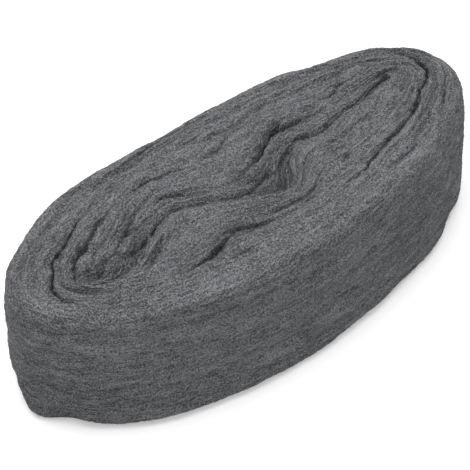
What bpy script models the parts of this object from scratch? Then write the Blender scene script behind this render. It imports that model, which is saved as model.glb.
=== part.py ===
"""A bundle of steel wool: one long ribbon, wound on itself into a flat oval hank.

The ribbon stands on its lower edge, so every turn is as tall as the ribbon is wide. The turns
nest round a narrow S-shaped hollow: an inner group follows its folds and has slumped into it from
the far side, and an outer group is drawn smooth round it, with crescent gaps between the two at
both ends. Metres, +Z up, with +X the long way. The origin is the middle of the foot.
"""

import math

import bmesh
import bpy

# The oval that the outermost turn follows, before its lumps, and the ribbon that stands in it
LENGTH = 0.2540
WIDTH = 0.1116
RIBBON_WIDTH = 0.0755

# The winding, from the inner end of the ribbon to the outer end
TURNS = 8.4
INNER_END = 180.0
END_SHARE = 0.35
GAP = 0.0005

# The outline's low lumps: waves round it, share of the oval, and the direction of the first crest
OUTLINE_LUMPS = ((1, 0.012, -22.0), (2, 0.027, 11.0), (3, 0.025, 22.0), (4, 0.007, 53.0))

# How far in the parting between the outer and the inner turns lies, and its own slant and dent
OUTER_BUILD_RIGHT = 0.0115
OUTER_BUILD_FAR = 0.0160
OUTER_BUILD_LEFT = 0.0225
OUTER_BUILD_NEAR = 0.0225
PARTING_SKEW = 0.0050
PARTING_LEVEL = 0.60
DENT_PLACE = 0.36
DENT_REACH = 0.0160
DENT_DEPTH = 0.0075

# The hollow in the middle: its ends, the folds of its line and how wide it opens, left to right
INNER_BUILD_RIGHT = 0.0170
INNER_BUILD_LEFT = 0.0110
FOLDS = (
    (0.00, -0.0090),
    (0.08, -0.0118),
    (0.14, -0.0095),
    (0.19, -0.0025),
    (0.25, 0.0026),
    (0.30, 0.0042),
    (0.35, 0.0005),
    (0.40, -0.0040),
    (0.47, -0.0093),
    (0.545, -0.0143),
    (0.58, -0.0090),
    (0.615, 0.0005),
    (0.65, 0.0050),
    (0.70, 0.0048),
    (0.75, 0.0030),
    (0.81, 0.0060),
    (0.88, 0.0075),
    (0.94, 0.0118),
    (1.00, 0.0130),
)
OPENINGS = (
    (0.00, 0.0050),
    (0.12, 0.0050),
    (0.20, 0.0045),
    (0.28, 0.0030),
    (0.47, 0.0030),
    (0.55, 0.0060),
    (0.60, 0.0060),
    (0.66, 0.0035),
    (1.00, 0.0030),
)
HOLLOW_BLUNTNESS = 0.6

# Where turns stand apart: turns from the inner end, reach round the winding in degrees, width
PARTINGS = (
    (5.93, 32.0, 0.0036),
    (5.46, 30.0, 0.0034),
    (5.19, 12.0, 0.0030),
    (6.21, 8.0, 0.0020),
    (7.40, 14.0, 0.0012),
    (4.77, 10.0, 0.0012),
    (3.92, 40.0, 0.0022),
    (1.72, 25.0, 0.0022),
)

# The section of the ribbon, and how the outer turns stand: flared, bellied and tucked in below
CREST_ROUND = 0.75
FOOT_ROUND = 0.0018
FOOT_FLAT = 0.5
FLARE = 0.0040
BULGE = 0.0015
TUCK = 0.0040
TUCK_HEIGHT = 0.0070

# How far the far turns have slumped where they meet the hollow, left to right, and the near edge
SLUMPS = (
    (0.00, 0.0030),
    (0.06, 0.0100),
    (0.14, 0.0140),
    (0.21, 0.0110),
    (0.28, 0.0055),
    (0.36, 0.0035),
    (0.44, 0.0045),
    (0.51, 0.0090),
    (0.56, 0.0130),
    (0.61, 0.0110),
    (0.68, 0.0060),
    (0.78, 0.0035),
    (1.00, 0.0015),
)
SLUMP_LEVEL = 0.44
SLUMP_FROM = -0.25
SLUMP_FULL = 0.35
EDGE_SLUMP = 0.0025
EDGE_LEVEL = 0.12

# How the crests sink over the rim, and wander up and down
CREST_WANDER = 0.0007
WANDER_RATES = (9.1, 23.7, 41.3)
RIM_START = 0.75
RIM_DROP = 0.0030

# Lumps of the rim and of the foot: direction, reach in degrees, and how far each rises or sags out
RIM_LUMPS = (
    (85.0, 52.0, 0.0026),
    (128.0, 16.0, 0.0054),
    (62.0, 12.0, 0.0036),
    (36.0, 12.0, 0.0036),
    (95.0, 6.0, -0.0022),
    (160.0, 8.0, -0.0012),
    (345.0, 12.0, -0.0016),
)
FOOT_LUMPS = (
    (166.0, 8.0, -0.0022),
    (186.0, 8.0, 0.0030),
    (200.0, 7.0, -0.0020),
    (240.0, 22.0, 0.0012),
    (270.0, 12.0, 0.0014),
    (313.0, 7.0, 0.0014),
    (328.0, 7.0, -0.0014),
)
FOOT_LUMP_HEIGHT = 0.0120

# Sections a turn, drawn a little closer together along the two long sides
STATIONS = 55
STATION_SHIFT = 0.016
CREST_POINTS = 5


def smooth_through(points, share):
    """The value at share on a smooth curve through (share, value) points, level at both ends."""
    last = len(points) - 1
    k = max(i for i in range(last) if i == 0 or points[i][0] <= share)
    span = points[k + 1][0] - points[k][0]
    s = min(max((share - points[k][0]) / span, 0.0), 1.0)

    def slope(i):
        if i in (0, last):
            return 0.0
        rise = points[i + 1][1] - points[i - 1][1]
        return span * rise / (points[i + 1][0] - points[i - 1][0])

    return (
        (1 + 2 * s) * (1 - s) ** 2 * points[k][1]
        + s * (1 - s) ** 2 * slope(k)
        + s * s * (3 - 2 * s) * points[k + 1][1]
        + s * s * (s - 1) * slope(k + 1)
    )


def outline(u):
    """The plan of the outermost face in direction u of the oval."""
    full = 1 + sum(h * math.cos(n * (u - math.radians(c))) for n, h, c in OUTLINE_LUMPS)
    return LENGTH / 2 * full * math.cos(u), WIDTH / 2 * full * math.sin(u)


def parting_ends():
    return OUTER_BUILD_LEFT - LENGTH / 2, LENGTH / 2 - OUTER_BUILD_RIGHT


def parting(u):
    """The plan of the line between the inner and the outer turns, dented on the near side."""
    left, right = parting_ends()
    near, far = OUTER_BUILD_NEAR - WIDTH / 2, WIDTH / 2 - OUTER_BUILD_FAR
    x = (left + right + (right - left) * math.cos(u)) / 2
    y = (near + far + (far - near) * math.sin(u)) / 2 + PARTING_SKEW * math.cos(u)
    from_dent = (x - left - (right - left) * DENT_PLACE) / DENT_REACH
    return x, y + DENT_DEPTH * math.exp(-(from_dent**2)) * max(0.0, -math.sin(u))


def hollow(u):
    """The plan of the innermost face: two sides of a folded slot with blunt ends."""
    left, right = parting_ends()
    left += INNER_BUILD_LEFT
    right -= INNER_BUILD_RIGHT
    share = (1 + math.cos(u)) / 2
    side = math.copysign(abs(math.sin(u)) ** HOLLOW_BLUNTNESS, math.sin(u))
    half = smooth_through(OPENINGS, share) / 2
    return left + (right - left) * share, smooth_through(FOLDS, share) + half * side


def plan(level, u):
    """A point between the hollow, at level 0, and the outline, at level 1."""
    if level < PARTING_LEVEL:
        inner, outer, share = hollow(u), parting(u), level / PARTING_LEVEL
    else:
        inner, outer = parting(u), outline(u)
        share = (level - PARTING_LEVEL) / (1 - PARTING_LEVEL)
    return tuple(a + (b - a) * share for a, b in zip(inner, outer))


def groove(wound):
    """The level of the groove after this many turns. The ribbon's ends are END_SHARE as thick."""
    return min(max((wound - 1 + END_SHARE) / (TURNS - 1 + 2 * END_SHARE), 0.0), 1.0)


def half_gap(wound):
    extra = sum(
        width * math.exp(-(((wound - place) * 360 / reach) ** 2))
        for place, reach, width in PARTINGS
    )
    return (GAP + extra) / 2


def ease(share):
    """From 0 to 1, level at both ends."""
    share = min(max(share, 0.0), 1.0)
    return share * share * (3 - 2 * share)


def lumps(table, u):
    """The sum of the lumps of a table in direction u."""
    total = 0.0
    for place, reach, rise in table:
        off = math.degrees(math.remainder(u - math.radians(place), 2 * math.pi))
        total += rise * math.exp(-((off / reach) ** 2))
    return total


def slump(level, u):
    """How far a crest has sunk towards the hollow: deep on the far side, a rounding on the near."""
    far_side = ease((math.sin(u) - SLUMP_FROM) / (SLUMP_FULL - SLUMP_FROM))
    depth = smooth_through(SLUMPS, (1 + math.cos(u)) / 2)
    return depth * far_side * ease(1 - level / SLUMP_LEVEL) + EDGE_SLUMP * ease(1 - level / EDGE_LEVEL)


def crest_height(level, wound, u):
    wander = sum(math.sin(rate * wound + rate) for rate in WANDER_RATES) - len(WANDER_RATES)
    rim = max(0.0, (level - RIM_START) / (1 - RIM_START)) ** 2
    rise = (lumps(RIM_LUMPS, u) - RIM_DROP) * rim
    return RIBBON_WIDTH + rise + CREST_WANDER * wander - slump(level, u)


def swell(level, u, height):
    """How far a point moves outwards: the flare, the belly, the tuck and the lumps of the foot."""
    up = height / RIBBON_WIDTH
    tuck = TUCK * max(0.0, 1 - height / TUCK_HEIGHT) ** 2
    body = FLARE * (0.5 - up) + BULGE * 4 * up * (1 - up) - tuck
    low = math.exp(-((height / FOOT_LUMP_HEIGHT) ** 2))
    return level**2 * (body + lumps(FOOT_LUMPS, u) * low)


def section_outline(thickness, crest):
    """(share across, height) round the section, from the foot up the inner face and back."""
    drop = min(CREST_ROUND * thickness, crest / 3)
    sides = (FOOT_ROUND, TUCK_HEIGHT, crest / 2)
    points = [((1 - FOOT_FLAT) / 2, 0.0)]
    points += [(0.0, height) for height in sides]
    for k in range(CREST_POINTS):
        turn = math.pi * k / (CREST_POINTS - 1)
        points.append(((1 - math.cos(turn)) / 2, crest - drop * (1 - math.sin(turn))))
    points += [(1.0, height) for height in reversed(sides)]
    points.append(((1 + FOOT_FLAT) / 2, 0.0))
    return points


def section(wound):
    """The ribbon's section as points in space, after this many turns from its inner end."""
    u = math.radians(INNER_END) + 2 * math.pi * wound
    inner, outer = groove(wound), groove(wound + 1)
    spacing = math.dist(plan(inner, u), plan(outer, u))
    near = min(half_gap(wound) / spacing, 0.35)
    far = min(half_gap(wound + 1) / spacing, 0.35)
    middle = (inner + outer) / 2
    placed = []
    crest = crest_height(middle, wound, u)
    for across, height in section_outline(spacing * (1 - near - far), crest):
        level = inner + (outer - inner) * (near + (1 - near - far) * across)
        x, y = plan(level, u)
        out = swell(level, u, height)
        placed.append((x + out * math.cos(u), y + out * math.sin(u), height))
    return placed


def steel_wool():
    material = bpy.data.materials.new("steel_wool")
    material.use_nodes = True
    shader = material.node_tree.nodes["Principled BSDF"]
    shader.inputs["Base Color"].default_value = (0.15, 0.15, 0.155, 1.0)
    shader.inputs["Metallic"].default_value = 0.6
    shader.inputs["Roughness"].default_value = 0.65
    return material


def wool_ribbon():
    """Sweeps the section along the winding, closes both ends and centres the bundle."""
    steps = round(TURNS * STATIONS)
    places = [TURNS * k / steps for k in range(steps)]
    places = [wound + STATION_SHIFT * math.sin(4 * math.pi * wound) for wound in places] + [TURNS]
    bm = bmesh.new()
    rings = [[bm.verts.new(point) for point in section(wound)] for wound in places]
    for ring, following in zip(rings, rings[1:]):
        for k in range(len(ring)):
            bm.faces.new((ring[k - 1], ring[k], following[k], following[k - 1]))
    bm.faces.new(rings[0])
    bm.faces.new(reversed(rings[-1]))
    bmesh.ops.recalc_face_normals(bm, faces=bm.faces)
    for axis in (0, 1):
        reached = [vert.co[axis] for vert in bm.verts]
        middle = (min(reached) + max(reached)) / 2
        for vert in bm.verts:
            vert.co[axis] -= middle
    mesh = bpy.data.meshes.new("wool_ribbon")
    bm.to_mesh(mesh)
    bm.free()
    mesh.materials.append(steel_wool())
    mesh.shade_smooth()
    mesh.set_sharp_from_angle(angle=math.radians(60))
    ribbon = bpy.data.objects.new("wool_ribbon", mesh)
    bpy.context.scene.collection.objects.link(ribbon)
    return ribbon


for old in list(bpy.data.objects):
    bpy.data.objects.remove(old)
wool_ribbon()
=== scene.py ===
"""The looks of the steel wool bundle: a felted skin over the wound ribbon, and its loose fibres.

The skin follows the same plan as the solid: an oval outline, a parting line and a folded hollow,
with the ribbon's grooves wound between them. Where turns gape or fold, the skin has a crease.
"""

import math

import bpy
import numpy as np
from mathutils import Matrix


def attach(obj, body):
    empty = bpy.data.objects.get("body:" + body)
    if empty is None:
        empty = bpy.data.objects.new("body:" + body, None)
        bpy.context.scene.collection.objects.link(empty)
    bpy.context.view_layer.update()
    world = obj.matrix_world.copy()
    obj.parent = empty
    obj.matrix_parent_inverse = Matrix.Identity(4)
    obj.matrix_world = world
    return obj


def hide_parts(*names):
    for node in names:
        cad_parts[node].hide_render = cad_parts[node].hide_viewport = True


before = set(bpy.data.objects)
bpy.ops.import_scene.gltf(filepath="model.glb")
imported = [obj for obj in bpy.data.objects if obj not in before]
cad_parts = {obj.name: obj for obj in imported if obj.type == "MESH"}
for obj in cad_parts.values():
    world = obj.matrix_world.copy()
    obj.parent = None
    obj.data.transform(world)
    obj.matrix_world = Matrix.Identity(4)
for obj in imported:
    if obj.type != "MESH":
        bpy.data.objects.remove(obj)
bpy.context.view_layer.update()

# The winding, as the solid has it
LENGTH = 0.2540
WIDTH = 0.1116
RIBBON_WIDTH = 0.0755
TURNS = 8.4
INNER_END = 180.0
END_SHARE = 0.35
STATIONS = 55
STATION_SHIFT = 0.016
GAP = 0.0005
MOST_GAP_SHARE = 0.35
OUTLINE_LUMPS = ((1, 0.012, -22.0), (2, 0.027, 11.0), (3, 0.025, 22.0), (4, 0.007, 53.0))
OUTER_BUILD_RIGHT = 0.0115
OUTER_BUILD_FAR = 0.0160
OUTER_BUILD_LEFT = 0.0225
OUTER_BUILD_NEAR = 0.0225
PARTING_SKEW = 0.0050
PARTING_LEVEL = 0.60
DENT_PLACE = 0.36
DENT_REACH = 0.0160
DENT_DEPTH = 0.0075
INNER_BUILD_RIGHT = 0.0170
INNER_BUILD_LEFT = 0.0110
FOLDS = (
    (0.00, -0.0090), (0.08, -0.0118), (0.14, -0.0095), (0.19, -0.0025), (0.25, 0.0026),
    (0.30, 0.0042), (0.35, 0.0005), (0.40, -0.0040), (0.47, -0.0093), (0.545, -0.0143),
    (0.58, -0.0090), (0.615, 0.0005), (0.65, 0.0050), (0.70, 0.0048), (0.75, 0.0030),
    (0.81, 0.0060), (0.88, 0.0075), (0.94, 0.0118), (1.00, 0.0130),
)
OPENINGS = (
    (0.00, 0.0050), (0.12, 0.0050), (0.20, 0.0045), (0.28, 0.0030), (0.47, 0.0030), (0.55, 0.0060),
    (0.60, 0.0060), (0.66, 0.0035), (1.00, 0.0030),
)
HOLLOW_BLUNTNESS = 0.6
PARTINGS = (
    (5.93, 32.0, 0.0036), (5.46, 30.0, 0.0034), (5.19, 12.0, 0.0030), (6.21, 8.0, 0.0020),
    (7.40, 14.0, 0.0012), (4.77, 10.0, 0.0012), (3.92, 40.0, 0.0022), (1.72, 25.0, 0.0022),
)
FOOT_ROUND = 0.0018
FOOT_FLAT = 0.5
FLARE = 0.0040
BULGE = 0.0015
TUCK = 0.0040
TUCK_HEIGHT = 0.0070
SLUMPS = (
    (0.00, 0.0030), (0.06, 0.0100), (0.14, 0.0140), (0.21, 0.0110), (0.28, 0.0055), (0.36, 0.0035),
    (0.44, 0.0045), (0.51, 0.0090), (0.56, 0.0130), (0.61, 0.0110), (0.68, 0.0060), (0.78, 0.0035),
    (1.00, 0.0015),
)
SLUMP_LEVEL = 0.44
SLUMP_FROM = -0.25
SLUMP_FULL = 0.35
EDGE_SLUMP = 0.0025
EDGE_LEVEL = 0.12
CREST_WANDER = 0.0007
WANDER_RATES = (9.1, 23.7, 41.3)
RIM_START = 0.75
RIM_DROP = 0.0030
RIM_LUMPS = (
    (85.0, 52.0, 0.0026), (128.0, 16.0, 0.0054), (62.0, 12.0, 0.0036), (36.0, 12.0, 0.0036),
    (95.0, 6.0, -0.0022), (160.0, 8.0, -0.0012), (345.0, 12.0, -0.0016),
)
FOOT_LUMPS = (
    (166.0, 8.0, -0.0022), (186.0, 8.0, 0.0030), (200.0, 7.0, -0.0020), (240.0, 22.0, 0.0012),
    (270.0, 12.0, 0.0014), (313.0, 7.0, 0.0014), (328.0, 7.0, -0.0014),
)
FOOT_LUMP_HEIGHT = 0.0120

# The camera, from the outline of the photographed bundle in its 470 pixel frame
PHOTO_SIDE = 470
CAMERA_AZIMUTH = -36.07
CAMERA_ELEVATION = 45.97
CAMERA_ROLL = -1.95
CAMERA_DISTANCE = 0.8
FOCAL_PIXELS = 1668.06
PRINCIPAL_RIGHT = 12.127
PRINCIPAL_DOWN = -6.08
PLAN_CENTRE_HEIGHT = 0.03775
SENSOR = 36.0
CLIP_START = 0.01

# The skin: rows from the middle of the hollow out over the top, round the rim and down the side
MM = 0.001
COLUMNS = 900
HOLLOW_ROWS = 14
TOP_ROWS = 140
INNER_ROWS = 90
RIM_ROWS = 10
SIDE_ROWS = 56
FOOT_ROWS = 4
TOP_END = HOLLOW_ROWS + TOP_ROWS + RIM_ROWS
RIM_WIDTH = 0.0050
RIM_HEIGHT = 0.0055
FOOT_SPREAD = 0.0008
PERIMETER_POINTS = 721
DIRECTION_POINTS = 2001

# The hollow's floor under the far turns' edge, and how its near and far walls rise to the edges
FLOOR_DROPS = (
    (0.00, 0.0010), (0.10, 0.0025), (0.45, 0.0028), (0.52, 0.0012), (0.62, 0.0012), (0.72, 0.0012),
    (0.85, 0.0003), (1.00, 0.0001),
)
NEAR_WALL = 3.0
FAR_WALL = 1.2
WALL_CHANGE = 4

# Soft dips in the top, in millimetres: x, y, reach along, reach across, turned by degrees, depth
DIPS = (
    (-31, -33, 12, 4, -8, 2.5), (62, 12, 28, 7, 6, 1.5), (-80, -12, 12, 5, 20, 1.5),
    (30, -24, 30, 6, 6, -0.8),
)

# Patches of painted shade and light on the top, in the same way, with how much darker at the end
TOP_SHADES = (
    (-12, -22, 42, 9, 8, 0.30), (-100, 3, 16, 26, 0, 0.18), (98, 2, 26, 26, 0, 0.09),
    (60, -20, 30, 8, 10, 0.05), (30, 14, 30, 6, 15, 0.05),
)

# Creases between turns, in millimetres: width, then x, y and depth at each point it passes
CREASES = (
    (0.8, ((-105.7, -16.8, 1.5), (-107.5, -14.6, 3), (-109.1, -11, 5), (-109.6, -6.9, 7),
        (-108.8, -2, 8), (-106, 2, 8), (-103.2, 6, 8), (-101.2, 10.3, 8), (-98.2, 12.8, 7.5),
        (-93.5, 15, 7), (-87.8, 18.6, 6.5), (-83, 21.9, 6), (-79, 25, 6), (-75.1, 26.7, 5),
        (-70.6, 28.3, 4), (-65, 31.1, 3), (-57.5, 35, 3), (-51.1, 36.1, 2.5), (-44, 38.3, 2),
        (-37.6, 40.3, 2), (-32.5, 41.1, 2), (-28.9, 40.7, 1.5), (-24.9, 37.9, 1), (-18.1, 36.4, 1.2),
        (-13.3, 36.7, 2), (-8.5, 37.1, 3.5), (-5, 36.5, 4), (-1.1, 37.3, 3.5), (2.9, 38.3, 3),
        (7.7, 38.5, 3), (9.9, 38.8, 2.5), (15.5, 40.9, 2), (19.6, 41, 1.5), (23.6, 40.9, 0.6))),
    (0.7, ((-67.5, 39, 0.4), (-64.9, 39.3, 1.2), (-60, 39, 2), (-55.6, 39.9, 2), (-51.9, 39.7, 1),
        (-48.8, 39.9, 0.4))),
    (0.8, ((-87.6, 27.2, 0.8), (-91.3, 23.4, 2.5), (-93.5, 22.1, 2.5), (-96.3, 21, 0.8))),
    (0.7, ((-104.7, 18, 0.5), (-107.6, 15.2, 1.2), (-110.1, 12.8, 0.5))),
    (0.9, ((-64.5, 21.6, 0.5), (-59.8, 23.6, 1.5), (-52.7, 25.8, 1.8), (-48.2, 25, 2.5),
        (-40.4, 26.3, 3.5), (-35.9, 27.3, 3.5), (-31.7, 26, 3.5), (-28, 25.9, 3.2), (-23.9, 25.4, 3),
        (-20.1, 24.3, 2.5), (-14.9, 23.5, 1.2), (-10.7, 22.9, 1), (-6.6, 22.9, 2.5), (-1.5, 23.2, 3),
        (3, 23.9, 3.5), (7.4, 26.3, 3), (11.4, 29.3, 2), (14.3, 31.1, 0.8))),
    (0.8, ((-42.2, 27.1, 0.4), (-37.9, 28.1, 1.2), (-31.7, 29.8, 2), (-25.5, 29.5, 2.2), (-21.4, 29, 2),
        (-16.8, 29.1, 1.5), (-11.2, 28.7, 0.5))),
    (0.8, ((-8.1, 28, 0.4), (-5.8, 28, 1.5), (-1.8, 29, 1.6), (2.1, 31.6, 1.6), (8.9, 33.8, 2),
        (14.5, 33.2, 2), (20.6, 33.2, 2), (24.5, 33.1, 2), (28.3, 33.5, 1.5), (33.6, 34.2, 2),
        (36.8, 34, 2), (40.2, 34, 2), (43.2, 33.7, 0.6))),
    (0.9, ((36.8, 41.5, 0.4), (41.3, 40.8, 2), (43.7, 36.7, 2.2), (47.1, 35.7, 2.2), (52.4, 35.1, 2),
        (58.2, 35.6, 1.5), (61.3, 35.2, 0.5))),
    (0.8, ((53.5, 32.5, 0.4), (57.4, 31.9, 1.5), (61.9, 31.4, 1.8), (66.5, 31.1, 1.8), (69.7, 30.7, 2.2),
        (74.4, 29.5, 3), (80.2, 28.7, 3), (84.4, 28.2, 0.8))),
    (0.9, ((53.6, 21.6, 0.5), (58.7, 21.5, 2), (64.3, 20.6, 3), (69.6, 20.6, 3), (73.8, 22.3, 3),
        (78.1, 23.1, 3), (81.2, 22.5, 1.5), (84.3, 22, 0.4))),
    (0.8, ((-7.4, 12.3, 0.5), (-3.1, 14.1, 1.4), (1.1, 15, 1.4), (5.5, 15.4, 0.8), (9.6, 16.9, 1),
        (13.7, 18.3, 1), (18, 20, 1), (21.8, 24.2, 0.4))),
    (0.7, ((-9.9, 44.1, 0.4), (-2.9, 43, 1), (2.5, 44.8, 1), (9.1, 46.5, 0.4))),
    (1.1, ((-7.6, 3.6, 0.5), (-2.3, 4.1, 3), (0.7, 5.2, 3.5), (4.7, 6.6, 4), (8.2, 7.7, 4),
        (11.9, 9.2, 4.5), (15.1, 10.2, 5.5), (18.5, 12.5, 6), (21.8, 14.6, 6), (26.6, 17.1, 5.5),
        (30.1, 19.2, 6), (33.5, 20, 6), (36.4, 19.4, 6), (39.3, 18.7, 4.5), (42.6, 17.8, 4),
        (46.6, 17.5, 4), (50.5, 17.2, 3.5), (53.6, 17.7, 2.5), (58, 18.8, 2), (61.4, 19.7, 0.6))),
    (1.1, ((23.3, 11.4, 0.8), (29.4, 12.2, 3), (33.6, 11.8, 3.5), (37, 11.3, 3.5), (40.5, 10, 3.5),
        (43.5, 8.9, 3.5), (46.9, 7.3, 3.2), (51.1, 6.3, 3), (55.9, 7.1, 3), (61, 7.9, 3),
        (64.5, 8.8, 3.5), (67.1, 8.7, 4), (71.5, 8.6, 3.5), (76.5, 9.6, 4.5), (79.7, 10.8, 3.5),
        (83.3, 11.9, 3), (88.3, 13.5, 1))),
    (0.9, ((39, 9.6, 0.8), (44.2, 9.9, 2), (47.5, 10.1, 2), (52.3, 10.9, 2), (58.2, 10.4, 0.8))),
    (0.7, ((65.7, 14.1, 0.4), (67.5, 14.8, 1.2), (70.1, 15.7, 1.5), (73.5, 16.5, 1.2),
        (76.7, 17.5, 0.4))),
    (0.7, ((86.8, 21.9, 0.5), (91, 21, 2.5), (94, 18, 2.5), (97.4, 16.8, 2.5), (98.4, 13.9, 1))),
    (0.7, ((84.3, 23.5, 0.4), (88.8, 22.8, 1.5), (93.1, 21.2, 1.5), (97.6, 17.9, 1), (99.9, 16, 0.3))),
    (1.2, ((111.4, 27.2, 1), (114.7, 24.9, 3), (115.8, 21.6, 4), (117.1, 18.1, 5), (118.5, 14.3, 6),
        (117.7, 8, 7.5), (116.4, 3.4, 8), (112.9, -0.3, 7), (111.4, -1.1, 6), (107.4, -3.5, 6),
        (103.3, -6, 6), (99.5, -8.9, 6), (96, -11.9, 6), (92.7, -14, 6), (88.8, -16.4, 6),
        (83, -18.8, 6.5), (79.4, -19.8, 7), (73.9, -21.3, 7), (68.5, -23, 7), (63.4, -24.8, 6.5),
        (59.2, -26.3, 6.5), (55, -27.5, 6.5), (51.2, -29, 6), (48, -30.6, 5), (44.3, -31.9, 4),
        (39.9, -33, 3.5), (34.2, -33.5, 2.5), (28.1, -34.4, 0.8))),
    (0.8, ((123.4, -3.8, 0.8), (119.9, -7.2, 2.5), (115.9, -11.2, 3), (110.6, -16.3, 4),
        (106.8, -19.4, 3.5), (103.1, -21.7, 2.5), (97.3, -25, 0.8))),
    (0.9, ((82.2, -31.4, 0.8), (78.5, -32.9, 2.5), (74.8, -34, 3.5), (69.2, -35.5, 4.5),
        (65.8, -36.5, 3.5), (62.7, -37.2, 2.5), (59.9, -37.6, 1.5), (55, -38.2, 0.4))),
    (1.6, ((52.7, -14.4, 0.8), (47.6, -18.2, 2.5), (43, -20.5, 2.5), (38, -21.3, 0.8))),
    (0.8, ((60.2, -10.6, 0.4), (54, -15.8, 1.2), (48.6, -18.9, 0.6))),
    (1, ((-52, 4.1, 1.2), (-49.4, 5.4, 4), (-45.9, 7.3, 4), (-42.6, 8.2, 4), (-38.3, 8.4, 3.5),
        (-34.1, 8.2, 3.5), (-30.9, 7.3, 3), (-27.3, 5.7, 3), (-23.4, 4.2, 3), (-19.4, 2.6, 3),
        (-15.7, 0.9, 3), (-11.2, -1.1, 3.2), (-5.3, -2.6, 3.5), (-0.3, -2.9, 4), (4.2, -1.7, 4),
        (8.5, 0.1, 4.5), (12.3, 1.2, 4.5), (17.1, 2.8, 3.5), (21.5, 2.9, 3), (24.1, 1.7, 1))),
    (1, ((-46.2, 12.8, 0.8), (-43, 13.9, 2), (-38.3, 15, 3), (-34, 14.6, 4), (-30.6, 12.9, 3.5),
        (-27.3, 10.4, 3), (-23.7, 9, 2.5), (-19.7, 7.5, 1.8), (-15.4, 6.1, 2), (-12.3, 5, 2),
        (-9.6, 2.5, 0.8))),
    (0.9, ((-33.8, 6.9, 0.8), (-38, 7.4, 2.5), (-42.3, 6.5, 2.5), (-49.6, -1.5, 1.5),
        (-54.8, -7.3, 0.5))),
    (0.9, ((-49.6, -9.8, 0.5), (-53.1, -10.8, 2.5), (-56.7, -12, 3), (-60.9, -14.3, 3), (-65, -16.7, 3),
        (-68.5, -19, 0.8))),
    (0.8, ((-41.4, -8.9, 0.5), (-44.1, -10.7, 1.5), (-47.2, -12.5, 1.5), (-50.5, -14.4, 1.5),
        (-53.9, -17.9, 0.4))),
    (0.8, ((-54.1, -30.7, 0.4), (-57.5, -31.9, 1.2), (-60.8, -32.3, 1), (-64.7, -32.5, 0.3))),
    (1.1, ((-58.5, 23.8, 0.8), (-62.8, 21.5, 2), (-67.3, 19.3, 3.5), (-71.4, 17.3, 4), (-75.2, 14.9, 4),
        (-79.6, 11.9, 4), (-84.7, 9.3, 4), (-88.5, 7.9, 4), (-90.9, 6.5, 4), (-93.8, 2.8, 3.5),
        (-97.7, -3.6, 3), (-100.2, -8.6, 0.8))),
    (0.8, ((-69.5, 9.4, 0.4), (-72.8, 8.2, 1.5), (-77, 7.3, 2), (-80.8, 5.5, 2), (-85.4, 0.5, 2),
        (-88, -2.2, 0.6))),
    (1, ((-75.5, 4.2, 0.6), (-77.4, 1.8, 3), (-80, -1, 3.2), (-83.3, -2.9, 3), (-88, -5.2, 0.8))),
    (0.9, ((-67.5, 6.2, 0.5), (-62.7, 8.9, 2.5), (-58.2, 10.1, 3), (-53.4, 10.7, 3), (-49.5, 11.4, 2.5),
        (-45.4, 12.3, 0.8))),
    (1.1, ((-51.6, 5.7, 0.8), (-54.6, 4.6, 3), (-58.7, 3.2, 3), (-63.5, 1.8, 3), (-67.2, 0.8, 2.5),
        (-69.5, -0.4, 2), (-72.7, -3.1, 0.8))),
    (1.2, ((20.9, 4.5, 0.8), (25.2, 6.1, 2.5), (28.4, 6.3, 2.5), (24.9, -2, 0.8))),
    (1, ((13.4, -1.9, 0.5), (16.5, -2.2, 1.5), (19, -3.6, 2), (19.8, -6.8, 0.8))),
    (1, ((34.6, 7.9, 0.6), (32.9, 7.3, 2), (29.3, 4.3, 2.5), (25.7, 0.3, 2.5), (22.7, -3.6, 2.5),
        (19.9, -5.9, 0.8))),
    (1, ((26.7, 9.6, 0.6), (30.4, 9.6, 2), (33.3, 8.6, 0.8))),
    (1.2, ((-63.6, -31.7, 0.4), (-57.9, -32.2, 2), (-52.5, -31.5, 3), (-46.8, -31.1, 5),
        (-43.2, -30.5, 6), (-39.5, -29.3, 6), (-35.9, -28.3, 6), (-32.4, -26.9, 5.5), (-28.9, -25.7, 5),
        (-25.7, -25.1, 4.5), (-22.1, -25.2, 4), (-18.4, -26.1, 3.5), (-14.4, -27.1, 3.5),
        (-9.6, -28.6, 3), (-5.9, -29.5, 2.2), (-1.7, -30.4, 1.5), (2.2, -31.1, 1.2), (6, -32.2, 0.4))),
    (1, ((-41.6, -37.9, 0.5), (-37, -38.5, 2.5), (-33.4, -38.6, 3), (-29.6, -38.4, 3), (-26.1, -38.6, 3),
        (-23, -39.4, 2.5), (-19.9, -39.8, 2), (-15.1, -40.2, 0.6))),
    (0.9, ((17.5, -12.8, 0.4), (20.1, -13.3, 1.5), (24.1, -12.4, 1.5), (29.1, -10.4, 1),
        (33.8, -9.7, 0.3))),
    (0.9, ((3.8, -28.2, 0.4), (8.4, -28.6, 1.5), (13, -28.7, 1.5), (19.4, -27.8, 0.8),
        (27.2, -26.4, 0.3))),
    (0.8, ((0.8, -37.4, 0.4), (3.6, -37.6, 1.2), (7, -38.1, 1.2), (11.6, -37.9, 0.9), (18, -37.3, 0.3))),
    (0.8, ((6.8, -52.7, 0.4), (12.3, -52.5, 1.5), (17, -52.4, 1.5), (21.3, -52.6, 0.8),
        (27.2, -52.5, 0.3))),
    (0.7, ((-17.4, -44.7, 0.4), (-13.9, -45.2, 1), (-10.3, -45.9, 1.5), (-6.6, -46.3, 1.5),
        (-2.5, -46.7, 1), (2.9, -46.8, 0.3))),
    (0.8, ((-85.1, -40.4, 0.4), (-82.6, -41.1, 1.5), (-80.1, -41.7, 1.8), (-76.9, -42.6, 1.5),
        (-73.5, -43.7, 1.5), (-69.6, -45.1, 1), (-65, -46.3, 0.3))),
    (0.7, ((-107.8, -25.6, 0.3), (-105.3, -27.6, 1), (-102.1, -29.7, 1.2), (-99.3, -31.3, 1),
        (-95.8, -32.9, 0.8), (-91.3, -34.8, 0.3))),
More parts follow.
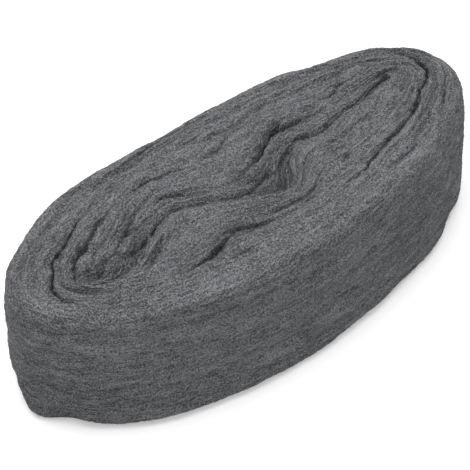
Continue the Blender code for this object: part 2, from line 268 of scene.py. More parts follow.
    (0.8, ((121.7, 9.7, 0.3), (118.6, 0.6, 2), (111.8, -8.9, 2.5), (104.5, -15.8, 2.5),
        (95.5, -21.9, 2.2), (85.1, -27.2, 1.8), (75.3, -31.2, 0.3))),
    (0.8, ((43.6, 37.5, 0.3), (50.6, 36.9, 2), (58, 35.8, 2.4), (72.2, 33.8, 2), (86.8, 31.9, 2.4),
        (99.4, 27.3, 2), (109.1, 21.7, 0.3))),
    (0.8, ((5.2, 39.2, 0.3), (15.3, 39, 2), (26.2, 38.9, 2.4), (36, 37.2, 2), (45, 34.4, 0.3))),
    (0.8, ((75.1, -2.5, 0.3), (66, -6.6, 1.8), (57.6, -8.4, 2), (48.7, -10.2, 2), (40.9, -10.8, 1.8),
        (32.8, -11.8, 0.3))),
)

# Thin raised edges of turns and of the free end, in the same way
RAISED = (
    (1.2, ((57.5, -40.5, 0.3), (60.2, -40.3, 0.9), (63.5, -40.1, 1.2), (66.4, -40.1, 1.3),
        (69.6, -40.4, 1.3), (72.5, -40.7, 1.3), (75.7, -40.6, 1.2), (79.2, -40.1, 1.1),
        (82.4, -40.1, 0.7), (85.2, -39.7, 0.2))),
    (1.3, ((100.6, -10.3, 0.2), (95.4, -16.2, 0.7), (86.8, -21.4, 0.9), (78.9, -25, 1.1),
        (70, -26.6, 1.2), (62.4, -28.4, 1.2), (55.8, -31.6, 1.2), (50, -33.7, 1.2), (44.1, -34.9, 1.1),
        (37.8, -35.1, 0.9), (32.2, -34.4, 0.6), (27, -33.5, 0.2))),
    (1.2, ((109.4, 13.1, 0.2), (108.4, 7.5, 0.7), (106.8, 1.8, 0.8), (103.7, -3.2, 0.8),
        (97.8, -8.6, 0.6), (91.9, -12.4, 0.2))),
    (0.8, ((-68.9, 9.3, 0.2), (-70.1, 7.2, 0.7), (-71.6, 4.3, 0.5), (-74.1, 2.2, 0.2))),
)

# Creases in the side: width, then direction in degrees, height and depth at each point
SIDE_CREASES = (
    (1.3, ((174, 12, 1.5), (181, 20, 2), (186, 24, 2), (191, 27, 1.6), (196, 28, 1.6), (201, 30, 1.2),
        (204, 30, 1.4), (207, 31, 0.8), (210, 32, 0.3))),
    (0.8, ((210, 28, 0.3), (212, 29, 1.2), (214, 30, 1), (215, 31, 0.3))),
    (0.8, ((216, 28, 0.3), (218, 28, 1.1), (221, 29, 1), (223, 29, 0.3))),
    (0.9, ((227, 22, 0.3), (228, 22, 1), (231, 22, 1.1), (234, 22, 0.9), (237, 23, 0.3))),
    (0.8, ((229, 29, 0.3), (231, 30, 1), (233, 30, 1), (235, 30, 0.8), (237, 30, 0.3))),
    (0.8, ((193, 5, 0.3), (196, 6, 1), (200, 7, 1), (203, 9, 0.3))),
    (0.8, ((237, 69, 0.3), (238, 69, 1.2), (240, 69, 1.2), (243, 68, 0.9), (244, 69, 0.3))),
    (0.7, ((246, 59, 0.3), (247, 59, 1), (249, 59, 1), (251, 58, 0.3))),
    (0.7, ((251, 53, 0.3), (252, 53, 1.2), (254, 54, 1.2), (256, 54, 0.9), (257, 54, 0.3))),
    (0.7, ((256, 40, 0.3), (257, 40, 1), (259, 40, 1), (262, 39, 0.3))),
    (0.8, ((241, 39, 0.3), (243, 39, 1), (246, 39, 1), (249, 38, 0.8), (251, 38, 0.3))),
    (0.8, ((225, 25, 0.2), (232, 25, 0.4), (241, 25, 0.5), (249, 24, 0.5), (257, 22, 0.2))),
)

# Painted shade and light on the side: direction, height, reach of each, and how much darker
SIDE_SHADES = (
    (178, 13, 22, 7, 0.20), (205, 25, 30, 5, 0.12), (190, 35, 14, 22, 0.12),
    (225, 55, 10, 12, -0.05), (262, 20, 14, 10, -0.04), (306, 44, 14, 24, 0.18),
    (345, 45, 24, 40, 0.07),
)

# Notches that lift the foot under the left end: direction, reach in degrees and height
NOTCHES = ((196.5, 4.0, 0.0026), (172.0, 5.0, 0.0010))

# How a crease is cut: a narrow core, soft shoulders, and less than its depth where it is shallow.
# FULL_CREASE and SHOULDER_REACH are in millimetres.
CURVE_STEPS = 4
CREASE_EXTENT = 3
CREASE_NARROW = 0.70
FULL_CREASE = 7.0
SHALLOWER = 0.35
SHOULDER_REACH = 2.1
SHOULDER_DEPTH = 0.50

# What makes creases uneven: (amount, size, seed) for their width, their depth and their course
RAGGED = (0.40, 0.0012, 38)
BROKEN = (0.45, 0.0065, 39)
CREASE_WARPS = ((0.00050, 0.0040, 51), (0.00030, 0.0013, 52))

# How much painted shade darkens creases and slumps, and painted light lightens raised edges
CREASE_SHADE = 0.25
CREASE_SHADE_DEPTH = 0.0028
SLUMP_SHADE = 14.0
RAISED_LIGHT = 260.0

# The turns between the creases: shallow valleys where neighbouring turns meet
TURN_VALLEY = 0.0008
VALLEY_SHARE = 0.22
VALLEY_BREAKS = 11
VALLEY_SEED = 37

# Relief of the felt, from locks of wool to tufts, as (height, size along, size across, seed)
ROPES = (0.0008, 0.0450, 0.0042, 43)
STRANDS = (0.0004, 0.0170, 0.0018, 34)
RIDGES = (0.00022, 0.0060, 0.0009, 35)
TUFTS = (0.00024, 0.0016, 0.0014, 36)
FELT_LUMPS = (0.0007, 0.0150, 0.0090, 45)
WANDERS = ((0.0030, 0.0600, 0.0200, 31), (0.0010, 0.0180, 0.0080, 32))
ROPE_SHARPNESS = 0.7
STRAND_SHARPNESS = 0.8
SIDE_ROPES = 0.50
RELIEF_DEPTH = 0.0009
HOLLOW_RUN = 0.040
NORMAL_PASSES = 40
NOISE_CELLS = 256
SIDE_CUT_ROWS = 3
FOOT_FADE_ROWS = 6

# The tone of the felt, from 0, dark, to 1, light, and the painted shade its relief adds
MIDDLE_TONE = 0.425
MIDDLE_RELIEF = 0.4
ROPE_SHADE = 0.20
STRAND_SHADE = 0.20
RIDGE_SHADE = 0.10

# The wound ribbon under the skin
TURN_STATIONS = 120
CREST_STEPS = 4
TURN_RISES = (0.0, 0.08, 0.35, 0.7)
TURN_TOP = 0.050
TURN_LIMIT = 0.960
TURN_LENGTH = 0.5
TURN_STEP = 0.002
TURN_TONE = (0.45, 0.3)
TURN_PATCHES = (0.012, 0.0012, 41)

# Loose fibres: thin flat strips, tapered, twisted and crinkled
SIDE_FIBRES = 27000
SIDE_LENGTH = (0.002, 0.009)
SIDE_SLANT = 0.35
SIDE_SEED = 21
TOP_FIBRES = 35000
TOP_LENGTH = (0.0015, 0.006)
TOP_SLANT = 0.70
TOP_SEED = 22
FIBRES_A_PIECE = 24500
FIBRE_POINTS = 5
FIBRE_WIDTH = (0.00008, 0.00018)
FIBRE_CRINKLE = 0.00025
FIBRE_BEND = 0.10
FIBRE_ROLL = 0.6
FIBRE_TWIST = 0.4
FIBRE_TIP = 0.12
FIBRE_TAPER = 0.4
FIBRE_TONE_SPREAD = 0.22
LOWEST_FIBRE = 0.0001
STRAY_CURVE = 1.5
RIM_OVERLAP = 4
FOOT_CLEAR = 2
FIBRE_LIFT = (-0.00010, 0.00030)
STRAY_SHARE = 0.07
STRAY_LIFT = 0.0009
# Painted glints: a share of the fibres much lighter
GLINT_SHARE = 0.05
GLINT_TONE = 0.6
MOST_TURN = 14.0
ROW_MARGIN = 0.2
LEAST_STEP = 1e-5

# The steel: its dark and light grey and roughness in the felt and in loose fibres, and a slight blue
DEEP_STEEL = (0.05, 0.24, 0.7)
FIBRE_STEEL = (0.06, 0.34, 0.6)
COOL = (0.98, 1.0, 1.05)
METALLIC = 0.3

# Its speckle, the felt's streaks, and the bump that goes with them
SPECKLE = 3.6
SPECKLE_SCALE = 1350.0
SPECKLE_DETAIL = 2.0
STREAK_TONE = 1.6
STREAK_SCALE = (50.0, 950.0, 1.0)
STREAK_DETAIL = 3.0
BUMP_STRENGTH = 0.6
BUMP_DISTANCE = 0.0004

# The floor, the world and the lamp overhead
WHITE = (1.0, 1.0, 1.0, 1.0)
FLOOR_SIZE = 12
FLOOR_COLOUR = (0.8, 0.8, 0.8, 1.0)
FLOOR_ROUGHNESS = 0.9
FLOOR_GLOW = 0.35
WORLD_STRENGTH = 0.55
LAMP_SIZE = 1.4
LAMP_ENERGY = 19
LAMP_PLACE = (-0.03, 0.15, 1.3)
LAMP_TILT = (-0.12, 0, 0)


def smooth_through(points, share):
    """Values at share on a smooth curve through (share, value) points, level at both ends."""
    places = np.array([p[0] for p in points])
    values = np.array([p[1] for p in points])
    slopes = np.zeros(len(points))
    slopes[1:-1] = (values[2:] - values[:-2]) / (places[2:] - places[:-2])
    k = np.clip(np.searchsorted(places, share, side="right") - 1, 0, len(points) - 2)
    span = places[k + 1] - places[k]
    s = np.clip((share - places[k]) / span, 0.0, 1.0)
    return (
        (1 + 2 * s) * (1 - s) ** 2 * values[k]
        + s * (1 - s) ** 2 * span * slopes[k]
        + s * s * (3 - 2 * s) * values[k + 1]
        + s * s * (s - 1) * span * slopes[k + 1]
    )


def outline(u):
    full = 1 + sum(h * np.cos(n * (u - math.radians(c))) for n, h, c in OUTLINE_LUMPS)
    return np.stack([LENGTH / 2 * full * np.cos(u), WIDTH / 2 * full * np.sin(u)], -1)


def parting_ends():
    return OUTER_BUILD_LEFT - LENGTH / 2, LENGTH / 2 - OUTER_BUILD_RIGHT


def parting(u):
    left, right = parting_ends()
    near, far = OUTER_BUILD_NEAR - WIDTH / 2, WIDTH / 2 - OUTER_BUILD_FAR
    x = (left + right + (right - left) * np.cos(u)) / 2
    y = (near + far + (far - near) * np.sin(u)) / 2 + PARTING_SKEW * np.cos(u)
    from_dent = (x - left - (right - left) * DENT_PLACE) / DENT_REACH
    return np.stack([x, y + DENT_DEPTH * np.exp(-(from_dent**2)) * np.maximum(0, -np.sin(u))], -1)


def hollow_middle(u):
    left, right = parting_ends()
    left += INNER_BUILD_LEFT
    right -= INNER_BUILD_RIGHT
    share = (1 + np.cos(u)) / 2
    return np.stack([left + (right - left) * share, smooth_through(FOLDS, share)], -1)


def hollow(u):
    side = np.sign(np.sin(u)) * np.abs(np.sin(u)) ** HOLLOW_BLUNTNESS
    half = smooth_through(OPENINGS, (1 + np.cos(u)) / 2) / 2
    return hollow_middle(u) + np.stack([0 * side, half * side], -1)


def plan(level, u):
    """Points between the hollow, at level 0, and the outline, at level 1."""
    inside = (level / PARTING_LEVEL)[..., None]
    outside = ((level - PARTING_LEVEL) / (1 - PARTING_LEVEL))[..., None]
    middle = parting(u)
    inner = hollow(u) * (1 - inside) + middle * inside
    outer = middle * (1 - outside) + outline(u) * outside
    return np.where(inside < 1, inner, outer)


def groove(wound):
    return np.clip((wound - 1 + END_SHARE) / (TURNS - 1 + 2 * END_SHARE), 0.0, 1.0)


def half_gap(wound):
    extra = sum(
        width * np.exp(-(((wound - place) * 360 / reach) ** 2)) for place, reach, width in PARTINGS
    )
    return (GAP + extra) / 2


def ease(share):
    """From 0 to 1, level at both ends."""
    share = np.clip(share, 0.0, 1.0)
    return share * share * (3 - 2 * share)


def lumps(table, u):
    """The sum of the lumps of a table in direction u."""
    total = 0.0
    for place_at, reach, rise in table:
        off = np.degrees(np.angle(np.exp(1j * (u - math.radians(place_at)))))
        total = total + rise * np.exp(-((off / reach) ** 2))
    return total


def slump(level, u):
    """How far a crest has sunk towards the hollow: deep on the far side, a rounding on the near."""
    far_side = ease((np.sin(u) - SLUMP_FROM) / (SLUMP_FULL - SLUMP_FROM))
    depth = smooth_through(SLUMPS, (1 + np.cos(u)) / 2)
    return depth * far_side * ease(1 - level / SLUMP_LEVEL) + EDGE_SLUMP * ease(1 - level / EDGE_LEVEL)


def turn_wander(wound):
    return sum(np.sin(rate * wound + rate) for rate in WANDER_RATES) - len(WANDER_RATES)


def crest_height(level, wound, across, u):
    """The crests' height, blended from the middle of each turn to the middle of the next."""
    beside = turn_wander(wound + np.sign(across - 0.5))
    wander = turn_wander(wound) + np.abs(across - 0.5) * (beside - turn_wander(wound))
    rim = np.maximum(0.0, (level - RIM_START) / (1 - RIM_START)) ** 2
    rise = (lumps(RIM_LUMPS, u) - RIM_DROP) * rim
    return RIBBON_WIDTH + rise + CREST_WANDER * wander - slump(level, u)


def swell(level, u, height):
    up = height / RIBBON_WIDTH
    tuck = TUCK * np.maximum(0.0, 1 - height / TUCK_HEIGHT) ** 2
    body = FLARE * (0.5 - up) + BULGE * 4 * up * (1 - up) - tuck
    low = np.exp(-((height / FOOT_LUMP_HEIGHT) ** 2))
    return level**2 * (body + lumps(FOOT_LUMPS, u) * low)


def in_frame(flat, u, out, height):
    """Points in space from points of the plan, moved out in direction u, at a height."""
    x = flat[..., 0] + out * np.cos(u) - centre[0]
    y = flat[..., 1] + out * np.sin(u) - centre[1]
    return np.stack([x, y, np.broadcast_to(height, x.shape)], -1)


def direction(wound):
    return math.radians(INNER_END) + 2 * math.pi * wound


def spacing(wound):
    """(inner level, outer level, distance, near gap share, far gap share) of the ribbon there."""
    u = direction(wound)
    inner, outer = groove(wound), groove(wound + 1)
    apart = np.linalg.norm(plan(inner, u) - plan(outer, u), axis=-1)
    near = np.minimum(half_gap(wound) / apart, MOST_GAP_SHARE)
    far = np.minimum(half_gap(wound + 1) / apart, MOST_GAP_SHARE)
    return inner, outer, apart, near, far


def solid_points(wound, across, height):
    """Points of the ribbon: across from 0 at its inner face to 1 at its outer face."""
    inner, outer, _, near, far = spacing(wound)
    level = inner + (outer - inner) * (near + (1 - near - far) * across)
    u = direction(wound)
    return in_frame(plan(level, u), u, swell(level, u, height), height)


def hashed_noise(x, y, seed, period=NOISE_CELLS):
    """Smooth noise from -1 to 1, with features about one unit across, that repeats along x."""
    table = np.random.default_rng(seed).uniform(-1, 1, (period, NOISE_CELLS))
    ix, iy = np.floor(x).astype(int), np.floor(y).astype(int)
    fx, fy = x - ix, y - iy
    fx, fy = fx * fx * (3 - 2 * fx), fy * fy * (3 - 2 * fy)
    x0, x1 = ix % period, (ix + 1) % period
    y0, y1 = iy % NOISE_CELLS, (iy + 1) % NOISE_CELLS
    low = table[x0, y0] * (1 - fx) + table[x1, y0] * fx
    high = table[x0, y1] * (1 - fx) + table[x1, y1] * fx
    return low * (1 - fy) + high * fy


def round_noise(around, across, form):
    """Noise of a form (height, along, across, seed) on the whole way round, around from 0 to 1."""
    _, along, beside, seed = form
    cells = round(PERIMETER / along)
    return hashed_noise(around * cells, across / beside, seed, cells)


def plan_noise(flat, size, seed):
    return hashed_noise(flat[..., 0] / size, flat[..., 1] / size, seed)


def mesh_object(name, points, quads, tone, across_map, material):
    """A smooth mesh from points and quads, with a tone for each point and a map for its patterns."""
    mesh = bpy.data.meshes.new(name)
    mesh.vertices.add(len(points))
    mesh.vertices.foreach_set("co", points.astype(np.float32).ravel())
    mesh.loops.add(quads.size)
    mesh.loops.foreach_set("vertex_index", quads.astype(np.int32).ravel())
    mesh.polygons.add(len(quads))
    starts = np.arange(len(quads), dtype=np.int32) * quads.shape[1]
    mesh.polygons.foreach_set("loop_start", starts)
    mesh.update(calc_edges=True)
    mesh.attributes.new("tone", "FLOAT", "POINT").data.foreach_set("value", tone.astype(np.float32))
    layer = mesh.uv_layers.new(name="OFBake")
    layer.uv.foreach_set("vector", across_map[quads.ravel()].astype(np.float32).ravel())
    mesh.shade_smooth()
    mesh.validate()
    mesh.materials.append(material)
    made = bpy.data.objects.new(name, mesh)
    bpy.context.scene.collection.objects.link(made)
    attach(made, "root")
    return made


# The shift from the plan to the frame, whose origin is the middle of the solid's box
centre = np.zeros(2)
part_wound = np.arange(round(TURNS * STATIONS)) / STATIONS
part_wound = np.append(part_wound + STATION_SHIFT * np.sin(4 * math.pi * part_wound), TURNS)[:, None]
side_heights = np.array([[FOOT_ROUND, TUCK_HEIGHT, RIBBON_WIDTH / 2]])
side_points = solid_points(part_wound, np.ones_like(side_heights), side_heights + 0 * part_wound)
corners = side_points[..., :2].reshape(-1, 2)
centre = (corners.min(axis=0) + corners.max(axis=0)) / 2

outline_points = outline(np.linspace(0, 2 * math.pi, PERIMETER_POINTS))
PERIMETER = np.linalg.norm(np.diff(outline_points, axis=0), axis=1).sum()


def perimeter_direction(share):
    """Directions that spread evenly along the outline."""
    u = np.linspace(0, 2 * math.pi, DIRECTION_POINTS)
    run = np.r_[0, np.cumsum(np.linalg.norm(np.diff(outline(u), axis=0), axis=1))]
    return np.interp(share * run[-1], run, u)


def smooth_curve(points):
    """Rows close together on a smooth curve through a few rows of numbers."""
    p = np.array(points, float)
    p = np.vstack([2 * p[0] - p[1], p, 2 * p[-1] - p[-2]])
    t = np.linspace(0, len(points) - 1, CURVE_STEPS * (len(points) - 1) + 1)
    k = np.minimum(t.astype(int), len(points) - 2)
    s = (t - k)[:, None]
    a, b, c, d = p[k], p[k + 1], p[k + 2], p[k + 3]
    return b + (c - a) * s / 2 + (2 * a - 5 * b + 4 * c - d) * s**2 / 2 + (3 * b - a - 3 * c + d) * s**3 / 2


def crease_depth(creases, flat, ragged=0.0, shoulders=SHOULDER_DEPTH):
    """How deep creases cut, or edges rise, at points of the plan, or of the side laid flat."""
    sharp, soft = np.zeros(flat.shape[:-1]), np.zeros(flat.shape[:-1])
    for width, points in creases:
        curve = smooth_curve(points) * MM
        deepest = curve[:, 2].max()
        reach = CREASE_EXTENT * max(SHOULDER_REACH * MM, width * MM)
        low, high = curve[:, :2].min(axis=0) - reach, curve[:, :2].max(axis=0) + reach
        near = np.all((flat > low) & (flat < high), axis=-1)
        here = flat[near][:, None, :]
        start, span = curve[None, :-1, :2], np.diff(curve[:, :2], axis=0)[None]
        part = np.clip(((here - start) * span).sum(-1) / (span**2).sum(-1), 0, 1)
        away = np.linalg.norm(start + part[..., None] * span - here, axis=-1)
        k = away.argmin(axis=1)
        part = part[np.arange(len(k)), k]
        depth = np.maximum(curve[k, 2] * (1 - part) + curve[k + 1, 2] * part, 0)
        away = away.min(axis=1)
        if shoulders:
            depth = depth * np.minimum(depth / (FULL_CREASE * MM), 1) ** SHALLOWER
        spread = width * MM * CREASE_NARROW * np.sqrt(depth / deepest) + 1e-6
        spread = spread * (1 + (ragged[near] if np.ndim(ragged) else ragged))
        shoulder = shoulders * np.sqrt(depth * MM)
        sharp[near] = np.maximum(sharp[near], depth * np.exp(-((away / spread) ** 2)))
        soft[near] = np.maximum(soft[near], shoulder * np.exp(-((away / (SHOULDER_REACH * MM)) ** 2)))
    return np.maximum(sharp, soft)


def painted_crease_shade(depth):
    """Painted shade: how much darker the felt is down in its creases."""
    return CREASE_SHADE * (1 - np.exp(-np.maximum(depth, 0) / CREASE_SHADE_DEPTH))


def patches(table, flat):
    """The sum of a table's soft patches at points of the plan."""
    total = np.zeros(flat.shape[:-1])
    for x, y, along, across, turned, amount in table:
        cosine, sine = math.cos(math.radians(turned)), math.sin(math.radians(turned))
        dx, dy = flat[..., 0] / MM - x, flat[..., 1] / MM - y
        a, b = (cosine * dx + sine * dy) / along, (cosine * dy - sine * dx) / across
        total += amount * np.exp(-(a**2) - b**2)
    return total


def wound_at(level, u):
    """How far the ribbon is wound where it covers a level in direction u, and the share across."""
    position = level * (TURNS - 1 + 2 * END_SHARE) + 1 - END_SHARE
    base = (u - math.radians(INNER_END)) / (2 * math.pi)
    wound = np.clip(base + np.floor(position - base), 0, TURNS)
    return wound, np.clip(position - wound, 0, 1)


def felt_relief(around, across):
    """The felt's relief: ropes with creases between them, strands, ridges, tufts and lumps."""
    for form in WANDERS:
        across = across + form[0] * round_noise(around, across, form)
    ropes = np.abs(round_noise(around, across, ROPES)) ** ROPE_SHARPNESS
    strands = np.abs(round_noise(around, across, STRANDS)) ** STRAND_SHARPNESS
    return ropes, strands, *(round_noise(around, across, form) for form in (RIDGES, TUFTS, FELT_LUMPS))


def skin():
    """The skin before its felt relief: directions, a grid of points, and the painted shade of each."""
    u = perimeter_direction(np.linspace(0, 1, COLUMNS, endpoint=False))[None, :]
    build = np.linalg.norm(outline(u) - parting(u), axis=-1) / (1 - PARTING_LEVEL)
    rim_level = RIM_WIDTH / build
    inside = np.linspace(0, 1, HOLLOW_ROWS, endpoint=False)[:, None]
    turn = np.linspace(0, math.pi / 2, RIM_ROWS + 1)[1:, None]
    level_top = np.linspace(0, 1, TOP_ROWS + 1)[:, None] * (1 - rim_level)
    level_rim = 1 - rim_level * (1 - np.sin(turn))
    flat_inside = hollow_middle(u) * (1 - inside[..., None]) + hollow(u) * inside[..., None]
    level = np.concatenate([level_top, level_rim], 0)
    flat = np.concatenate([flat_inside, plan(level, u)], 0)
    level = np.concatenate([0 * inside + 0 * u, level], 0)
    wound, across = wound_at(level, u)

    from_edge = np.minimum(across, 1 - across) / VALLEY_SHARE
    open_here = 0.5 + 0.5 * hashed_noise(wound * VALLEY_BREAKS, np.floor(wound + 0.5), VALLEY_SEED)
    valley = TURN_VALLEY * open_here * np.exp(-(from_edge**2))
    valley[:HOLLOW_ROWS] = 0
    rim_drop = np.concatenate([0 * level[:-RIM_ROWS], RIM_HEIGHT * (1 - np.cos(turn)) + 0 * u], 0)
    height = crest_height(level, wound, across, u) - rim_drop - valley
    share = (1 + np.cos(u)) / 2
    floor = RIBBON_WIDTH - smooth_through(SLUMPS, share) - smooth_through(FLOOR_DROPS, share)
    middle_wall = math.sqrt(NEAR_WALL * FAR_WALL)
    wall = inside ** (middle_wall * (NEAR_WALL / middle_wall) ** -np.tanh(WALL_CHANGE * np.sin(u)))
    height[:HOLLOW_ROWS] = floor * (1 - wall) + height[HOLLOW_ROWS] * wall
    ragged = RAGGED[0] * plan_noise(flat, *RAGGED[1:])
    warped = flat.copy()
    for shift, size, seed in CREASE_WARPS:
        for axis in (0, 1):
            warped[..., axis] += shift * plan_noise(flat, size, seed + 2 * axis)
    broken = 1 + BROKEN[0] * plan_noise(flat, *BROKEN[1:])
    cut = crease_depth(CREASES, warped, ragged) * broken
    dips = patches(DIPS, flat) * MM
    height -= dips + cut
    raised = crease_depth(RAISED, flat, ragged, shoulders=0.0)
    height += raised
    # Painted shade down in creases and in the top's patches
    shade = painted_crease_shade(cut) + patches(TOP_SHADES, flat)
    # Painted shade in slumps and dips, and painted light on raised edges
    shade += SLUMP_SHADE * (slump(level, u) + dips) - RAISED_LIGHT * raised
    rim_height = height[-1:]

    drop = np.linspace(0, 1, SIDE_ROWS + 1)[1:, None]
    side_height = rim_height * (1 - drop) + FOOT_ROUND * drop
    foot = np.linspace(0, math.pi / 2, FOOT_ROWS + 1)[1:, None]
    notch = lumps(NOTCHES, u)
    side_height += notch * (1 - side_height / FOOT_LUMP_HEIGHT).clip(0, 1)
    foot_height = FOOT_ROUND * (1 - np.sin(foot)) + notch
    pull = np.concatenate([0 * side_height, FOOT_SPREAD * (1 - np.cos(foot)) + 0 * u], 0)
    low_height = np.concatenate([side_height, foot_height], 0)
    height = np.concatenate([height, low_height], 0)
    shade = np.concatenate([shade, 0 * low_height], 0)
    level = np.concatenate([level, np.ones_like(low_height)], 0)
    flat = np.concatenate([flat, np.broadcast_to(outline(u), low_height.shape + (2,))], 0)

    out = swell(level, u, height)
    out[-len(pull):] -= pull
    return u, in_frame(flat, u, out, height), shade


def grid_normals(points):
    around = np.roll(points, -1, axis=1) - np.roll(points, 1, axis=1)
    outward = np.gradient(points, axis=0)
    normals = np.cross(outward, around)
    normals /= np.maximum(np.linalg.norm(normals, axis=-1, keepdims=True), 1e-12)
    return normals


def soft_normals(points):
    """Normals evened out across creases, so that the relief on their two walls doesn't cross."""
    normals = grid_normals(points)
    for _ in range(NORMAL_PASSES):
        padded = np.concatenate([normals[:1], normals, normals[-1:]], 0)
        normals = (padded[:-2] + 2 * normals + padded[2:]) / 4
    normals = (np.roll(normals, 1, axis=1) + 2 * normals + np.roll(normals, -1, axis=1)) / 4
    return normals / np.maximum(np.linalg.norm(normals, axis=-1, keepdims=True), 1e-12)


def side_cut(u, points):
    """How deep the side's creases cut, row by row."""
    run = np.degrees(u) / 360 * PERIMETER
    flat = np.stack([run + 0 * points[..., 2], points[..., 2]], -1)
    laid = [
        (width, [(a / 360 * PERIMETER / MM, height, depth) for a, height, depth in line])
        for width, line in SIDE_CREASES
    ]
    return crease_depth(laid, flat)


# Painted shade and light on the side, from its patches
def side_shade(u, height):
    total = 0.0
    for place_at, middle, reach, high, darker in SIDE_SHADES:
        off = np.degrees(np.angle(np.exp(1j * (u - math.radians(place_at))))) / reach
        total = total + darker * np.exp(-(off**2) - ((height / MM - middle) / high) ** 2)
    return total


def felted(u, points, shade):
    """The skin with its relief, and the tone and fibre coordinates of each point."""
    steps = np.linalg.norm(np.diff(points, axis=0, prepend=points[:1]), axis=-1)
    steps[HOLLOW_ROWS:] = steps[HOLLOW_ROWS:].mean(axis=1, keepdims=True)
    run = np.cumsum(steps, axis=0)
    run -= run[HOLLOW_ROWS] - HOLLOW_RUN
    rows = np.arange(len(points))[:, None]
    around = u / (2 * math.pi) + 0 * run
    ropes, strands, ridges, tufts, lumpy = felt_relief(around, run)
    side = ease((rows - TOP_END + RIM_ROWS) / RIM_ROWS)
    relief = ROPES[0] * ropes * (1 - side + SIDE_ROPES * side) + STRANDS[0] * strands
    relief += RIDGES[0] * ridges + TUFTS[0] * tufts + FELT_LUMPS[0] * lumpy - RELIEF_DEPTH
    cut = side_cut(u, points) * ease((rows - TOP_END + 1) / SIDE_CUT_ROWS)
    relief -= cut
    from_foot = (len(points) - 1 - rows) / FOOT_FADE_ROWS
    fade = np.clip(rows / HOLLOW_ROWS, 0, 1) * np.clip(from_foot, 0, 1)
    points = points + soft_normals(points) * (relief * fade)[..., None]
    # Painted shade of the relief: lighter where it is raised, darker between
    tone = MIDDLE_TONE + ROPE_SHADE * (ropes - MIDDLE_RELIEF) + STRAND_SHADE * (strands - MIDDLE_RELIEF)
    tone = tone + RIDGE_SHADE * ridges
    # Painted shade of the skin, of the side's creases and of the side's patches comes off the tone
    tone -= shade + painted_crease_shade(cut) + side_shade(u, points[..., 2]) * side
    return points, tone, around * PERIMETER, run


def add_grain(made, along, run):
    """The fibre coordinates of each point, for the streaks."""
    layer = made.data.attributes.new("grain", "FLOAT_VECTOR", "POINT")
    grain = np.stack([along, run, 0 * run], -1).reshape(-1, 3)
    layer.data.foreach_set("vector", grain.astype(np.float32).ravel())


def grid_piece(name, rows, surface, material):
    """A band of the skin's rows as one mesh."""
    points, tone, along, run = surface
    points, tone, along, run = points[rows], tone[rows], along[rows], run[rows]
    index = np.arange(tone.size).reshape(tone.shape)
    beside = np.roll(index, -1, axis=1)
    quads = np.stack([index[:-1], index[1:], beside[1:], beside[:-1]], -1).reshape(-1, 4)
    pattern = np.stack([np.linspace(0, 1, tone.shape[1])[None, :] + 0 * tone, run / run.max()], -1)
    made = mesh_object(name, points.reshape(-1, 3), quads, tone.ravel(), pattern.reshape(-1, 2), material)
    add_grain(made, along, run)
    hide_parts("wool_ribbon")


def steel(name, greys, felt):
    """Fine steel fibre, from a dark to a light grey by tone, with streaks and a speckle of fibre ends."""
    material = bpy.data.materials.new(name)
    material.use_nodes = True
    nodes, links = material.node_tree.nodes, material.node_tree.links
    shader = nodes["Principled BSDF"]
    dark, light, roughness = greys
    shader.inputs["Metallic"].default_value = METALLIC
    shader.inputs["Roughness"].default_value = roughness
    tone = nodes.new("ShaderNodeAttribute")
    tone.attribute_name = "tone"
    total = tone.outputs["Fac"]

    def added(value, scale, middle=0.5):
        """total + (value - middle) * scale"""
        step = nodes.new("ShaderNodeMath")
        step.operation = "MULTIPLY_ADD"
        step.inputs[1].default_value = scale
        links.new(value, step.inputs[0])
        lowered = nodes.new("ShaderNodeMath")
        lowered.operation = "SUBTRACT"
        lowered.inputs[1].default_value = middle * scale
        links.new(total, lowered.inputs[0])
        links.new(lowered.outputs["Value"], step.inputs[2])
        return step.outputs["Value"]

    def noise(vector, scale, detail):
        made = nodes.new("ShaderNodeTexNoise")
        made.inputs["Scale"].default_value = scale
        made.inputs["Detail"].default_value = detail
        links.new(vector, made.inputs["Vector"])
        return made.outputs["Fac"]

    place_in = nodes.new("ShaderNodeTexCoord")
    speckle = noise(place_in.outputs["Object"], SPECKLE_SCALE, SPECKLE_DETAIL)
    total = added(speckle, SPECKLE)
    if felt:
        grain = nodes.new("ShaderNodeAttribute")
        grain.attribute_name = "grain"
        stretched = nodes.new("ShaderNodeMapping")
        stretched.inputs["Scale"].default_value = STREAK_SCALE
        links.new(grain.outputs["Vector"], stretched.inputs["Vector"])
        streak = noise(stretched.outputs["Vector"], 1.0, STREAK_DETAIL)
        total = added(streak, STREAK_TONE)
        bump = nodes.new("ShaderNodeBump")
        bump.inputs["Strength"].default_value = BUMP_STRENGTH
        bump.inputs["Distance"].default_value = BUMP_DISTANCE
        links.new(total, bump.inputs["Height"])
        links.new(bump.outputs["Normal"], shader.inputs["Normal"])
    ramp = nodes.new("ShaderNodeValToRGB")
    for element, grey in zip(ramp.color_ramp.elements, (dark, light)):
        element.color = (*(grey * share for share in COOL), 1.0)
    links.new(total, ramp.inputs["Fac"])
    links.new(ramp.outputs["Color"], shader.inputs["Base Color"])
    return material


